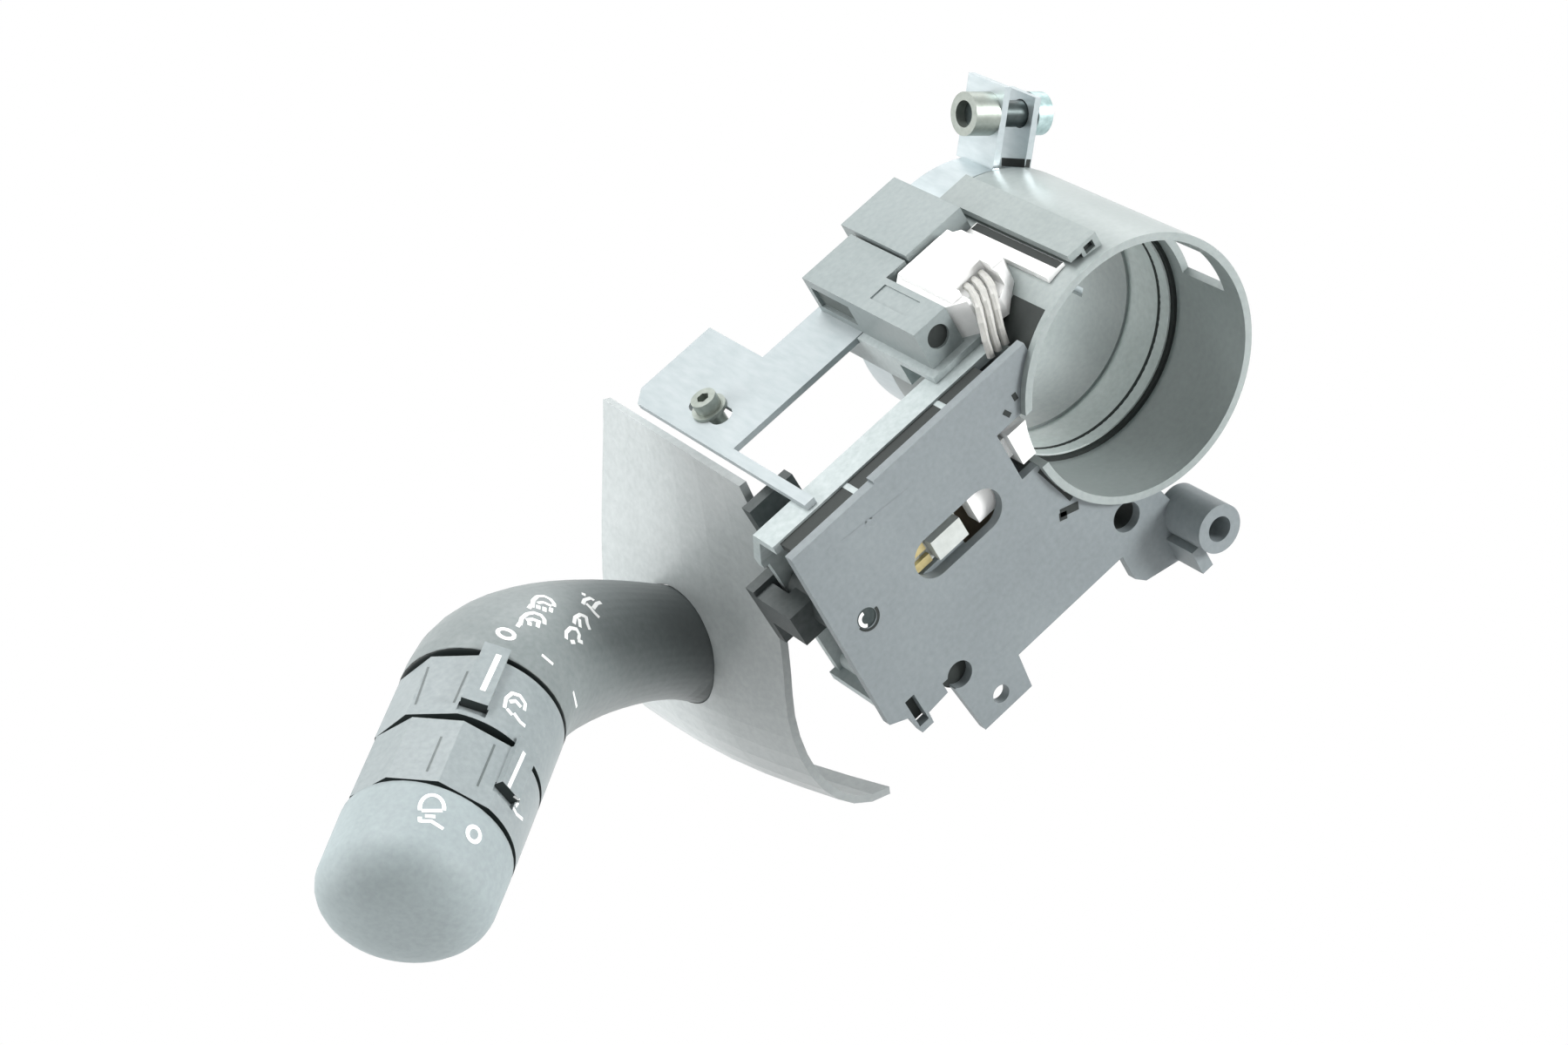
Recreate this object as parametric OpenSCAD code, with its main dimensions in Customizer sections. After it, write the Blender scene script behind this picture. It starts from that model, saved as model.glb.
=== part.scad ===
// Combination stalk switch for a steering column, in millimetres.
// X runs from the lever to the collar, Y runs along the steering column away from the driver,
// Z is up. The origin is the centre of the collar's mouth, in the front plate's face.

/* [Collar] */
// Outer diameter of the collar round the steering column
collar_od = 51; // [50:0.5:53]
// Wall of the collar at its mouth
mouth_wall = 1.5; // [1.3:0.1:1.8]
// Bore of the collar's tail, which sits on the column jacket
column_bore = 44.4; // [43.8:0.2:45]
// Wall of the collar's tail under the clamp band
tail_wall = 1.6; // [1.4:0.1:1.7]
// Length of the collar behind the front plate's face
collar_len = 43; // [42:0.5:46]
// Length of the tail behind the collar
tail_len = 11.5; // [10.5:0.5:14]
// How far the rim stands in front of the plate's face
rim_proud = 1.4; // [0.6:0.2:2.4]
// Depth of the mouth's bore behind the plate's face
mouth_depth = 18.4; // [17:0.2:20]
// Width of the snap groove at the end of the mouth's bore
snap_groove = 0.9; // [0.6:0.1:1.2]
// Length of the bush that lines the collar behind the mouth
bush_len = 12; // [9:0.5:14]

/* [Front plate] */
// Thickness of the front plate
plate_t = 2; // [1.6:0.2:2.4]
// Left end of the front plate
plate_left = -74; // [-74.6:0.2:-73]
// Top edge of the front plate
plate_top = 20.6; // [20:0.1:21]
// Bottom edge of the front plate
plate_bottom = -30.9; // [-31.4:0.1:-30]
// Height of the long window for the contacts
window_h = 8.6; // [8.4:0.1:9.2]
// Length of the long window
window_len = 20.4; // [19.6:0.2:21]
// Diameter of the lower left fixing hole
lug_hole_d = 3.6; // [3:0.1:4.2]
// Diameter of the lower right fixing hole
side_hole_d = 6; // [5:0.1:6.6]
// Outer diameter of the screw boss
boss_od = 9.6; // [9:0.2:10.4]
// Bore of the screw boss
boss_bore = 5; // [4:0.1:5.6]
// Length of the screw boss in front of the plate
boss_len = 10; // [8:0.5:11]

/* [Switch housing] */
// Gap between the front plate and the housing's rim
rim_gap = 4; // [3.6:0.1:4.4]
// Depth of the housing at its top edge
top_depth = 6.4; // [6:0.1:6.8]
// Back face of the housing
housing_back = 20; // [19.8:0.1:20.2]
// Wall of the housing
housing_wall = 1.8; // [1.6:0.1:2]
// Bottom face of the housing
housing_bottom = -22; // [-22.6:0.1:-21.4]

/* [Mounting bracket] */
// Thickness of the zinc plated sheet
bracket_t = 1.3; // [1.1:0.1:1.4]
// Underside of the bracket, which lies on the housing
bracket_z = 20.7; // [20.7:0.1:20.9]
// Width of the bracket's tab along the column
tab_w = 33.6; // [31:0.2:36]
// Width of the strip that joins the tab to the connector base
strip_w = 15; // [13:0.5:16]
// Length of the slot for the fixing screw, end to end
slot_len = 12; // [11:0.5:14]
// Width of the slot for the fixing screw
slot_w = 4.4; // [4.2:0.1:4.8]

/* [Column clamp] */
// Thickness of the clamp band
band_t = 1.4; // [1.2:0.1:1.6]
// Width of the clamp band along the column
band_w = 9.6; // [8:0.2:10]
// Direction of the clamp's ears round the column, from the X axis
ear_angle = 50; // [47:1:53]
// Gap between the two ears
ear_gap = 6; // [5.4:0.2:7]
// Distance of the clamp bolt from the column's axis
bolt_reach = 34.5; // [33.5:0.5:36]
// Diameter of the clamp bolt
bolt_d = 5; // [4:0.1:5.4]

/* [Connectors] */
// Top of the connector shrouds
shroud_top = 30.4; // [29.6:0.2:31.2]
// Wall of the connector shrouds
shroud_wall = 1.3; // [1.1:0.1:1.5]
// Depth of the sockets
socket_depth = 15; // [13:0.5:16]
// Length of the contact pins in the sockets
pin_len = 8; // [6:0.5:8.5]
// Side of the square contact pins
pin_side = 0.8; // [0.6:0.1:1]
// Distance of the contact pins from one another
pin_pitch = 2.5; // [2:0.1:2.6]

/* [Plug and wires] */
// Height of the white plug's top
plug_top = 30.8; // [30:0.2:31.6]
// Diameter of the wires
wire_d = 1.5; // [1.2:0.1:1.7]

/* [Lever pivots] */
// Diameter of the pin that the lever swings up and down on
swing_pin_d = 4; // [3.6:0.1:4.4]
// Diameter of the pin that the lever is pulled about
pull_pin_d = 3.2; // [2.8:0.1:3.6]
// Radial running clearance of the pins
pin_clear = 0.06; // [0.02:0.01:0.1]
// Distance of the contact drive peg from the swing pin
peg_reach = 12.2; // [11.6:0.1:12.8]
// Diameter of the detent plunger
plunger_d = 3.2; // [2.8:0.1:3.4]

/* [Lever] */
// Diameter of the lever where it leaves the shield
lever_root_d = 21; // [19:0.5:22]
// Thickness of the dust shield
shield_t = 1.6; // [1.2:0.1:1.8]
// Width of the dust shield along the column
shield_w = 48; // [45:1:50]
// How far the dust shield reaches below the column's axis
shield_drop = 56; // [54:1:60]
// Distance of the knob's first gap from the column's axis
lever_reach = 126.9; // [125:0.5:130]

/* [Knob] */
// Outer diameter of the knob
knob_d = 30.8; // [30:0.2:31.6]
// Length of each turning ring, gap to gap
ring_pitch = 15.9; // [15:0.1:16.5]
// Width of the gaps between the rings
ring_gap = 1.2; // [0.8:0.1:1.5]
// Outer diameter of the core that the rings turn on
core_d = 24.8; // [24:0.2:25.4]
// Radial clearance of the rings on the core
ring_clear = 0.1; // [0.05:0.01:0.15]
// Length of the end cap's side
cap_side = 10.5; // [10:0.5:13]

/* [Hidden] */
$fn = 96;
cut = 0.5;
gap = 0.3;
touch = 0.02;

// Collar
collar_r = collar_od / 2;
mouth_r = collar_r - mouth_wall;
seat_r = column_bore / 2;
bush_wall = 0.8;
bush_r = mouth_r - 0.4;
bush_front = mouth_depth + snap_groove;
bush_clear = 0.05;
tail_slit = 1.8;
tail_r = seat_r + tail_wall;
tail_end = collar_len + tail_len;
plate_clear = 0.05;
side_window_angle = 4.5;
side_window_h = 10.6;
rail_left = -1;
rail_right = 5.8;
rail_top = 28;
rail_front = 1.2;
rail_back = 40;

// Swing pin, parallel to the column, and the pull pin, upright
swing_x = -67.3;
swing_z = -0.2;
swing_r = swing_pin_d / 2;
pull_x = -62;
pull_y = 31;
pull_r = pull_pin_d / 2;

// Carrier between the two pins
carrier_r = 5.2;
web_left = -76.5;
web_t = 3.9;
web_back = 23.4;
ear_low = -13;
ear_high = 1;
ear_t = 3.6;
ear_r = 3.4;
plate_high = 18.4;
eye_r = 4.4;
eye_mid = (ear_low + ear_high) / 2;

// Housing
rim_y = plate_t + rim_gap;
top_back = rim_y + top_depth;
housing_top = bracket_z - touch;
housing_right = -20;
housing_left = plate_left + 1;
slope_z = 11;

// Long window and what shows in it
window_x = -44.8;
window_z = -0.3;
window_run = (window_len - window_h) / 2;

// Fixing points
lug_x = -53.6;
lug_z = -34.9;
notch_x = lug_x - 4.7;
notch_z = housing_bottom - 2.6;
notch_r = 2.7;
side_x = -15.5;
side_z = -24.5;
boss_x = -4.8;
boss_z = -33.2;

// Bracket
tab_left = -63.8;
tab_right = -43.3;
tab_front = 33.3;
strip_right = -16;
arm_w = 2.2;
slot_x = tab_left + 6.4;
slot_y = 47;
screw_r = slot_w / 2 - 0.3;
screw_head_r = 2.5;
screw_head = 2.4;
screw_below = 5;
washer_r = 3.4;
washer_t = 0.7;

// Clamp
bolt_y = collar_len + 5;
band_y = collar_len + 0.8;
band_r = tail_r + touch;
ear_face = ear_gap / 2 + band_t;
nut_len = 5.6;

// Connectors
base_top = bracket_z - touch;
base_left = -31;
base_right = -8;
base_bottom = 15.5;
shroud_floor = bracket_z + bracket_t + touch;
front_left = -29.4;
front_right = -17;
front_front = 11;
front_back = 46.8;
rear_left = -16.4;
rear_right = -2.7;
rear_front = 29.4;
rear_back = 50.4;
rear_top = shroud_top + 0.6;
rear_socket_right = -8.6;
rear_socket_floor = 24.6;
key_x = -25.5;
key_z = 26.6;
key_r = 2.3;
plug_left = -21.4;
plug_right = -6;
plug_front = 9;
plug_back = 29;
wire_count = 3;
notch_end = plug_front + 5;
wire_entry = [plug_left + 6.2, notch_end - 0.2, plug_top - 2.2];
wire_route = [[0, 0, 0], [-0.4, -2.2, 0.1], [-1.2, -4.4, -0.1], [-2.4, -6.2, -0.9], [-3.8, -7.6, -2.6],
  [-5.2, -8.6, -5.2], [-6, -9, -8.4]];

// Slider, pawl and plunger
slider_y = 3.4;
slider_t = 4;
slider_h = 6;
slider_play = 0.3;
slider_right = -42.5;
peg_r = 1.4;
pawl_pin_r = 1.4;
board_y = 9.4;
board_t = 1.4;
board_left = -51;
board_right = -28;
arm_left = -59.4;
arm_right = -56.8;
track_r = 12.05;
track_depth = 4;
pawl_x = -35.5;
pawl_z = 4.5;
pawl_y = 2.6;
pawl_t = 3.4;
pawl_r = 3.4;
pawl_h = 3.6;
pawl_len = 12.7;
pawl_window = -29.4;
notch_low = pawl_z - 5.6;
notch_high = pawl_z + 5.6;
plunger_y = 13.4;
plunger_tip = -55.6;
track_front = plunger_y - plunger_d / 2 - 1;
plunger_len = 6.6;
barrel_wall = 1.6;
detent_turn = 7;
barrel_end = -58.4;
spring_turns = 3;
spring_wire = 0.3;
spring_r = 1.1;
spring_from = barrel_end - 5.3;
spring_to = plunger_tip - plunger_len - 0.3;

// Lever: where it leaves the shield, the bend and the knob's first gap
leg_start = [-84, 53, -20];
leg_dir = [-0.583, 0.05, 0.811];
knob_at = [-lever_reach, 32.4, 16.3];
knob_yaw = 222;
knob_rise = 6;
knob_dir = [cos(knob_rise) * cos(knob_yaw), cos(knob_rise) * sin(knob_yaw), sin(knob_rise)];
knob_r = knob_d / 2;
core_r = core_d / 2;
ring_len = ring_pitch - ring_gap;
elbow_end = ring_gap / 2;
cap_from = elbow_end + 2 * ring_pitch;
cap_rise = 8.5;
cap_round = 0.75;
cap_turn = 24;
cap_tilt = 11;
panel_turn = 35;
rib_w = 4.8;
rib_half = 9;
rib_high = 1.1;
rib_clear = 0.35;
rib_lead = 2.2;
light_pointer = 142;
fog_pointer = 100;
leg_run = 13;
foot_len = 10;
foot_at = leg_start - foot_len * leg_dir;
arm_r = 4.2;
knee = [-66.5, 41.5, -8.4];
knob_run = 17;

// Dust shield: its front and rear edges in X and Z, outer face
shield_front = 25.8;
shield_top = [-65, 20.3];
front_curve = [shield_top, [-65.6, 8], [-74, -12.4], [-79.6, -23], [-86, -35], [-86, 3 - shield_drop],
  [-74, -shield_drop]];
rear_curve = [shield_top, [-71.5, 9.5], [-82, -4], [-88.5, -18], [-92.6, -27], [-96, 13 - shield_drop],
  [-87, 10 - shield_drop]];
shield_bow = 2;
shield_gap = 0.15;
leg_rings = 9;
shield_steps = 9;
shield_bands = 6;

// Points on the curved middle line of the lever, from the shield to the first gap
bend_a = leg_start + leg_run * leg_dir;
bend_b = knob_at - knob_run * knob_dir;
bend_steps = 16;
bend_sides = 44;
function bezier(a, b, c, d, t) =
  a * pow(1 - t, 3) + 3 * b * t * pow(1 - t, 2) + 3 * c * t * t * (1 - t) + d * pow(t, 3);
function lever_line(t) = bezier(leg_start, bend_a, bend_b, knob_at - 4 * knob_dir, t);
lever_points = concat([foot_at], [for (i = [0 : bend_steps]) lever_line(i / bend_steps)],
  [knob_at - elbow_end * knob_dir]);
function lever_way(i) = i == 0 ? leg_dir : i > bend_steps ? knob_dir : along(lever_points, i);
function lever_radius(t) =
  lever_root_d / 2 + (knob_r - lever_root_d / 2) * (3 * t * t - 2 * t * t * t);

// Posts of the housing, along its bottom and its top
post_z = housing_bottom + 2.6;
post_r = 2.4;
post_bore = 1.1;
low_posts = [-68.5, -48, -30];
high_posts = [-56, -34];

// Rings of points across a line, and the closed skin through them
function unit(v) = v / norm(v);
function along(p, i) = unit(p[min(i + 1, len(p) - 1)] - p[max(i - 1, 0)]);
function side_of(d, up) = unit(cross(d, up));
function ring_at(p, d, r, sides, up) = [for (k = [0 : sides - 1])
  p + r * (cos(360 * k / sides) * side_of(d, up) + sin(360 * k / sides) * cross(side_of(d, up), d))];
module skin(rings, strip = false) {
  n = len(rings[0]);
  m = len(rings);
  points = [for (ring = rings) each ring];
  walls = [for (j = [0 : m - 2], k = [0 : n - 1]) let (a = j * n + k, b = j * n + (k + 1) % n)
    each [[a, b, b + n], [a, b + n, a + n]]];
  fan = [for (k = [1 : n - 2]) [0, k, k + 1]];
  ladder = [for (k = [0 : n / 2 - 2]) each [[k, k + 1, n - 2 - k], [k, n - 2 - k, n - 1 - k]]];
  end = strip ? ladder : fan;
  first = [for (f = end) [f[2], f[1], f[0]]];
  last = [for (f = end) f + [1, 1, 1] * (m - 1) * n];
  polyhedron(points, concat(first, walls, last));
}
module tube(points, r, sides, up) {
  skin([for (i = [0 : len(points) - 1]) ring_at(points[i], along(points, i), r, sides, up)]);
}

// A round bar between two points
module bar(a, b, r) {
  run = b - a;
  translate(a)
    rotate([0, acos(run[2] / norm(run)), atan2(run[1], run[0])])
      cylinder(h = norm(run), r = r);
}
// A cylinder along the column from y0 to y1
module y_rod(x, z, r, y0, y1) {
  translate([x, y0, z])
    rotate([-90, 0, 0])
      cylinder(h = y1 - y0, r = r);
}
// A box given by its low and high corners
module block(low, high) {
  translate(low)
    cube(high - low);
}
// A cylinder along X at the plunger, from x0 to x1
module x_rod(r, x0, x1) {
  translate([x0, plunger_y, swing_z])
    rotate([0, 90, 0])
      cylinder(h = x1 - x0, r = r);
}
// A flat outline in X and Z, given depth along the column
module y_plate(points, y0, y1) {
  translate([0, y1, 0])
    rotate([90, 0, 0])
      linear_extrude(height = y1 - y0)
        polygon(points);
}
// The knob's own frame: its Z axis runs from the elbow to the end cap
module at_knob() {
  translate(knob_at)
    rotate([0, 90 - knob_rise, knob_yaw])
      children();
}
// The clamp's own frame: X points out of the column, Z along it
module at_ears() {
  rotate([0, -ear_angle, 0])
    rotate([-90, 0, 0])
      children();
}

// Collar with its bores, windows, key rail and split tail
module rail_shape() {
  block([rail_left, rail_front, rail_top - 1.5], [rail_right, rail_back, rail_top]);
  block([rail_left + 2.6, rail_front, collar_r - 2], [rail_right, rail_back, rail_top - 1]);
}
module hub_collar() color([0.5, 0.53, 0.54])
difference() {
  union() {
    y_rod(0, 0, collar_r, -rim_proud, collar_len);
    y_rod(0, 0, tail_r, collar_len - cut, tail_end);
    rail_shape();
  }
  y_rod(0, 0, mouth_r, -rim_proud - cut, mouth_depth);
  y_rod(0, 0, mouth_r + 0.6, mouth_depth, bush_front);
  y_rod(0, 0, bush_r, bush_front - cut, bush_front + bush_len);
  y_rod(0, 0, seat_r, bush_front, tail_end + cut);
  rotate([0, -side_window_angle, 0])
    block([mouth_r - 3, 3, -side_window_h / 2], [collar_r + 1, 15, side_window_h / 2]);
  block([-collar_r - 1, -rim_proud - cut, notch_low], [-mouth_r + 2.4, 7.4, notch_high]);
  for (turn = [0 : 3])
    rotate([0, -ear_angle - 90 * turn, 0])
      block([seat_r - 1, collar_len + 1.5, -tail_slit / 2], [tail_r + 1, tail_end + cut, tail_slit / 2]);
  block([rail_left + 3.4, rail_front - cut, rail_top - 2.4],
    [rail_right - 1.2, rail_front + 4, rail_top - 0.8]);
}

module column_bush() color([0.62, 0.64, 0.64])
difference() {
  y_rod(0, 0, bush_r - bush_clear, bush_front + touch, bush_front + bush_len - touch);
  y_rod(0, 0, bush_r - bush_wall, bush_front - cut, bush_front + bush_len + cut);
}

// Front plate: outline, long window, holes and boss
plate_outline = [
  [plate_left + 0.9, plate_top], [-53.3, plate_top], [-53.3, plate_top + 0.7], [-16.5, plate_top + 0.7],
  [-16.5, 15], [0, 0], [-7.6, -23.6], [-6.2, -29.4], [boss_x + 3, boss_z + 3.4],
  [boss_x + 4.2, boss_z], [boss_x + 3, boss_z - 4], [-10.4, -41.2], [-18.2, -39.2], [-20, -37],
  [-20, plate_bottom], [-46.9, plate_bottom], [-47.8, -38.7], [-59.7, -38.7], [-60.6, -26.2],
  [-61.8, -25.8], [-67, -26.2], [-67.2, -28.7], [-70, -28.7], [-70.6, -24],
  [plate_left - 0.4, housing_bottom]];
module front_plate() color([0.62, 0.66, 0.67])
difference() {
  union() {
    y_plate(plate_outline, 0, plate_t);
    y_rod(boss_x, boss_z, boss_od / 2, -boss_len, plate_t);
    block([boss_x - 6, -boss_len + 2.5, boss_z - 7.6], [boss_x - 3.4, plate_t / 2, boss_z - 2]);
    y_rod(swing_x, swing_z, swing_r + 1.5, 0, plate_t + 0.4);
    for (s = [-1, 1])
      block([-54.4, plate_t - touch, window_z + s * (slider_h / 2 + slider_play + 0.9) - 0.9],
        [slider_right - 1.4, slider_y + slider_t, window_z + s * (slider_h / 2 + slider_play + 0.9) + 0.9]);
  }
  y_rod(0, 0, collar_r + plate_clear, -cut, plate_t + cut);
  for (s = [-1, 1])
    y_rod(window_x + s * window_run, window_z, window_h / 2, -cut, plate_t + cut);
  block([window_x - window_run, -cut, window_z - window_h / 2],
    [window_x + window_run, plate_t + cut, window_z + window_h / 2]);
  y_rod(lug_x, lug_z, lug_hole_d / 2, -cut, plate_t + cut);
  y_rod(side_x, side_z, side_hole_d / 2, -cut, plate_t + cut);
  y_rod(boss_x, boss_z, boss_bore / 2, -boss_len - cut, plate_t + cut);
  y_rod(swing_x, swing_z, swing_r + touch, -cut, plate_t + 1);
  y_rod(notch_x, notch_z, notch_r, -cut, plate_t + cut);
  block([notch_x - 3.7, -cut, notch_z - 1.8], [notch_x, plate_t + cut, notch_z + 1.2]);
  block([plate_left + 4.2, -cut, housing_bottom - 5.2],
    [plate_left + 6.4, plate_t + cut, housing_bottom + 1.4]);
  block([pawl_window, -cut, notch_low], [-22, plate_t + cut, notch_high]);
}

// Housing behind the plate: a folded shell, open at its left end and at the front
module housing_section(inset) {
  f = rim_y - (inset > 0 ? cut : 0);
  polygon([[f, housing_bottom + inset], [f, housing_top - inset],
    [top_back - inset * 0.4, housing_top - inset],
    [housing_back - inset, slope_z - inset * 0.4], [housing_back - inset, housing_bottom + inset]]);
}
module x_profile(x0, x1) {
  translate([x0, 0, 0])
    rotate([90, 0, 90])
      linear_extrude(height = x1 - x0)
        children();
}
module track_shape() {
  difference() {
    translate([swing_x + track_r - 1.8, swing_z - 5.2])
      square([track_depth + 1.8, 10.4]);
    translate([swing_x, swing_z]) {
      circle(r = track_r);
      for (turn = [-detent_turn, 0, detent_turn])
        rotate(turn)
          translate([track_r + 0.2, 0])
            circle(r = plunger_d / 2 - 0.4);
    }
  }
}
module switch_housing() color([0.45, 0.48, 0.49])
difference() {
  union() {
    difference() {
      x_profile(housing_left, housing_right)
        housing_section(0);
      x_profile(housing_left - 1, housing_right + 1)
        housing_section(housing_wall);
    }
    for (x = low_posts)
      y_rod(x, post_z, post_r, plate_t + touch, housing_back - 1);
    for (x = high_posts)
      y_rod(x, housing_top - 2.8, post_r, plate_t + touch, top_back - 0.4);
    translate([0, housing_back - 1, 0])
      rotate([90, 0, 0])
        linear_extrude(height = housing_back - 1 - track_front)
          track_shape();
  }
  y_rod(0, 0, collar_r + plate_clear, -cut, housing_back + cut);
  y_rod(swing_x, swing_z, swing_r + touch, 0, housing_back + cut);
  block([housing_left - 1, housing_back - housing_wall - 1, housing_bottom + housing_wall],
    [swing_x - swing_r - 2.4, housing_back + cut, slope_z - 2]);
  for (x = low_posts)
    y_rod(x, post_z, post_bore, 0, housing_back + cut);
  for (x = high_posts)
    y_rod(x, housing_top - 2.8, post_bore, 0, top_back - 1);
}

module swing_pin() color([0.8, 0.82, 0.83])
y_rod(swing_x, swing_z, swing_r, 0.2, housing_back);

// Moulded base on the collar that carries the connectors and the bracket's strip
module connector_base() color([0.55, 0.58, 0.59])
difference() {
  union() {
    block([base_left, housing_back + gap, base_bottom], [base_right, front_back + 2, base_top]);
    block([housing_right + gap, front_front - 2, base_bottom], [base_right, housing_back + 1, base_top]);
    block([base_left, front_front - 2, bracket_z + touch],
      [front_right + 0.4, tab_front - gap, shroud_floor - touch]);
    block([base_left, housing_back + gap, base_top - cut],
      [front_right, tab_front - gap, shroud_floor - touch]);
    block([strip_right + gap, tab_front + 1, base_top - cut],
      [rear_right, front_back + 3.6, shroud_floor - touch]);
    block([front_right + 1.4, tab_front + strip_w + gap, base_top - cut],
      [rear_right, front_back + 3.6, shroud_floor - touch]);
  }
  y_rod(0, 0, collar_r + plate_clear, -cut, collar_len + touch);
  y_rod(0, 0, tail_r + band_t + 1, collar_len, tail_end + cut);
}

// Zinc plated bracket: tab with the screw slot, side arm and strip
module mounting_bracket() color([0.82, 0.86, 0.87])
translate([0, 0, bracket_z + touch])
  linear_extrude(height = bracket_t - touch)
    difference() {
      polygon([[tab_left, rim_y + 1], [tab_left + arm_w, rim_y + 1], [tab_left + arm_w, tab_front],
        [strip_right, tab_front], [strip_right, tab_front + strip_w], [tab_right, tab_front + strip_w],
        [tab_right, tab_front + tab_w], [tab_left + 3, tab_front + tab_w],
        [tab_left, tab_front + tab_w - 3]]);
      for (s = [-1, 1])
        translate([slot_x, slot_y + s * (slot_len - slot_w) / 2])
          circle(d = slot_w);
      translate([slot_x, slot_y])
        square([slot_w, slot_len - slot_w], center = true);
    }

// Captive fixing screw in the bracket's slot, with its washer
module bracket_screw() color([0.7, 0.72, 0.7])
translate([slot_x, slot_y, bracket_z + bracket_t + touch])
  difference() {
    union() {
      translate([0, 0, -bracket_t - screw_below])
        cylinder(h = bracket_t + screw_below + washer_t + 1, r = screw_r);
      cylinder(h = washer_t, r = washer_r);
      translate([0, 0, washer_t - touch])
        cylinder(h = screw_head, r = screw_head_r);
    }
    translate([0, 0, washer_t + 1])
      cylinder(h = screw_head, r = screw_head_r / 2, $fn = 6);
  }

// Screws that hold the front plate on the housing
module housing_screws() color([0.3, 0.32, 0.32])
for (x = low_posts) {
  y_rod(x, post_z, post_r - 0.3, housing_back + touch, housing_back + 1.4);
  y_rod(x, post_z, post_bore - 0.05, plate_t + 1, housing_back + 0.2);
}

// Clamp band round the tail with two ears for the bolt
module ear(side, reach, extra) {
  translate([0, side * (ear_gap + band_t) / 2, 0])
    block([band_r + band_t / 2, -band_t / 2 - gap * max(side, 0), band_y + gap],
      [reach, band_t / 2 - gap * min(side, 0), band_y + band_w - gap + extra]);
}
module clamp_band() color([0.84, 0.88, 0.88])
difference() {
  union() {
    y_rod(0, 0, band_r + band_t, band_y, band_y + band_w);
    at_ears() {
      ear(-1, bolt_reach + 6, 2.6);
      ear(1, bolt_reach + 4, 0);
    }
  }
  y_rod(0, 0, band_r, band_y - cut, band_y + band_w + 3);
  at_ears()
    block([band_r - 3, -ear_gap / 2, band_y - cut], [bolt_reach + 10, ear_gap / 2, band_y + band_w + 3]);
  at_ears()
    translate([bolt_reach, -ear_gap, bolt_y])
      rotate([-90, 0, 0])
        cylinder(h = 2 * ear_gap, r = bolt_d / 2 + 0.2);
}
module ear_rod(r, from, to) {
  at_ears()
    translate([bolt_reach, from, bolt_y])
      rotate([-90, 0, 0])
        cylinder(h = to - from, r = r);
}
module clamp_bolt() color([0.35, 0.38, 0.37]) {
  ear_rod(bolt_d / 2, -ear_face - 3.6, ear_face + 0.2);
  ear_rod(bolt_d / 2 + 1.6, ear_face + touch, ear_face + 3.4);
}
module clamp_nut() color([0.7, 0.73, 0.7])
difference() {
  ear_rod(bolt_d / 2 + 1.6, -ear_face - nut_len, -ear_face - touch);
  ear_rod(bolt_d / 2 + touch, -ear_face - 8, -ear_face + 1);
}

// Connector shrouds with their sockets open to the back
module shroud(left, right, front, back, top, socket_right, socket_floor) {
  difference() {
    block([left, front, shroud_floor], [right, back, top]);
    block([left + shroud_wall, back - socket_depth, socket_floor],
      [socket_right, back + cut, top - shroud_wall]);
    children();
  }
}
module connector_shroud_front() color([0.68, 0.71, 0.71])
shroud(front_left, front_right, front_front, front_back, shroud_top, front_right - shroud_wall,
  shroud_floor + shroud_wall) {
  block([plug_left - gap, front_front - cut, shroud_floor - cut],
    [front_right + cut, plug_back + gap, shroud_top + cut]);
  block([front_left - cut, tab_front, shroud_floor + 1.6],
    [front_left + 0.7, front_back - 1.4, shroud_top - 2]);
  y_rod(key_x, key_z, key_r, front_front - cut, front_front + 9);
  block([front_left + 2.6, front_front + 6, shroud_top - 0.3],
    [plug_left - 1.6, front_front + 17, shroud_top + cut]);
}
module connector_shroud_rear() color([0.7, 0.73, 0.73])
shroud(rear_left, rear_right, rear_front, rear_back, rear_top, rear_socket_right, rear_socket_floor)
  y_rod(0, 0, collar_r + plate_clear, rear_front - cut, rear_back + cut);
module pin_rows(left, right, back, low, high, rows) {
  middle = (low + high) / 2;
  count = floor((right - left - 2) / pin_pitch) + 1;
  start = (left + right - (count - 1) * pin_pitch) / 2;
  for (i = [0 : count - 1], j = [0 : rows - 1])
    translate([start + i * pin_pitch, back - socket_depth + touch,
      middle + (j - (rows - 1) / 2) * pin_pitch])
      translate([-pin_side / 2, 0, -pin_side / 2])
        cube([pin_side, pin_len, pin_side]);
}
module connector_pins_front() color([0.8, 0.7, 0.4])
pin_rows(front_left + shroud_wall, front_right - shroud_wall, front_back, shroud_floor + shroud_wall,
  shroud_top - shroud_wall, 2);
module connector_pins_rear() color([0.8, 0.7, 0.4])
pin_rows(rear_left + shroud_wall, rear_socket_right, rear_back, rear_socket_floor,
  rear_top - shroud_wall, 1);

// White plug with its lock bar, and the wires down to the housing
plug_outline = [[plug_left, plug_front + 3], [plug_left + 3, plug_front], [plug_right - 7, plug_front - 1],
  [plug_right - 2, plug_front + 2], [plug_right, plug_front + 6], [plug_right, plug_back - 3],
  [plug_right - 3, plug_back], [plug_left + 2, plug_back], [plug_left, plug_back - 2]];
module wire_plug() color([0.95, 0.95, 0.93])
difference() {
  union() {
    translate([0, 0, shroud_floor])
      linear_extrude(height = plug_top - shroud_floor - 1.2)
        polygon(plug_outline);
    translate([plug_left + 1.2, plug_front + 2.2, plug_top - 1.3])
      cube([plug_right - plug_left - 3, plug_back - plug_front - 4, 1.3]);
  }
  y_rod(0, 0, collar_r + plate_clear, -cut, collar_len);
  block([plug_left + 3.6, plug_front - 2, plug_top - 4.6],
    [plug_right - 4.5, notch_end, plug_top + cut]);
}
module plug_lock_bar() color([0.93, 0.93, 0.91])
difference() {
  block([plug_right + 0.4, 3, collar_r - 2.4], [rail_left - 0.4, rear_front - gap, collar_r + 0.7]);
  y_rod(0, 0, collar_r + plate_clear, -cut, collar_len);
}
module wires() color([0.72, 0.68, 0.6])
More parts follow.
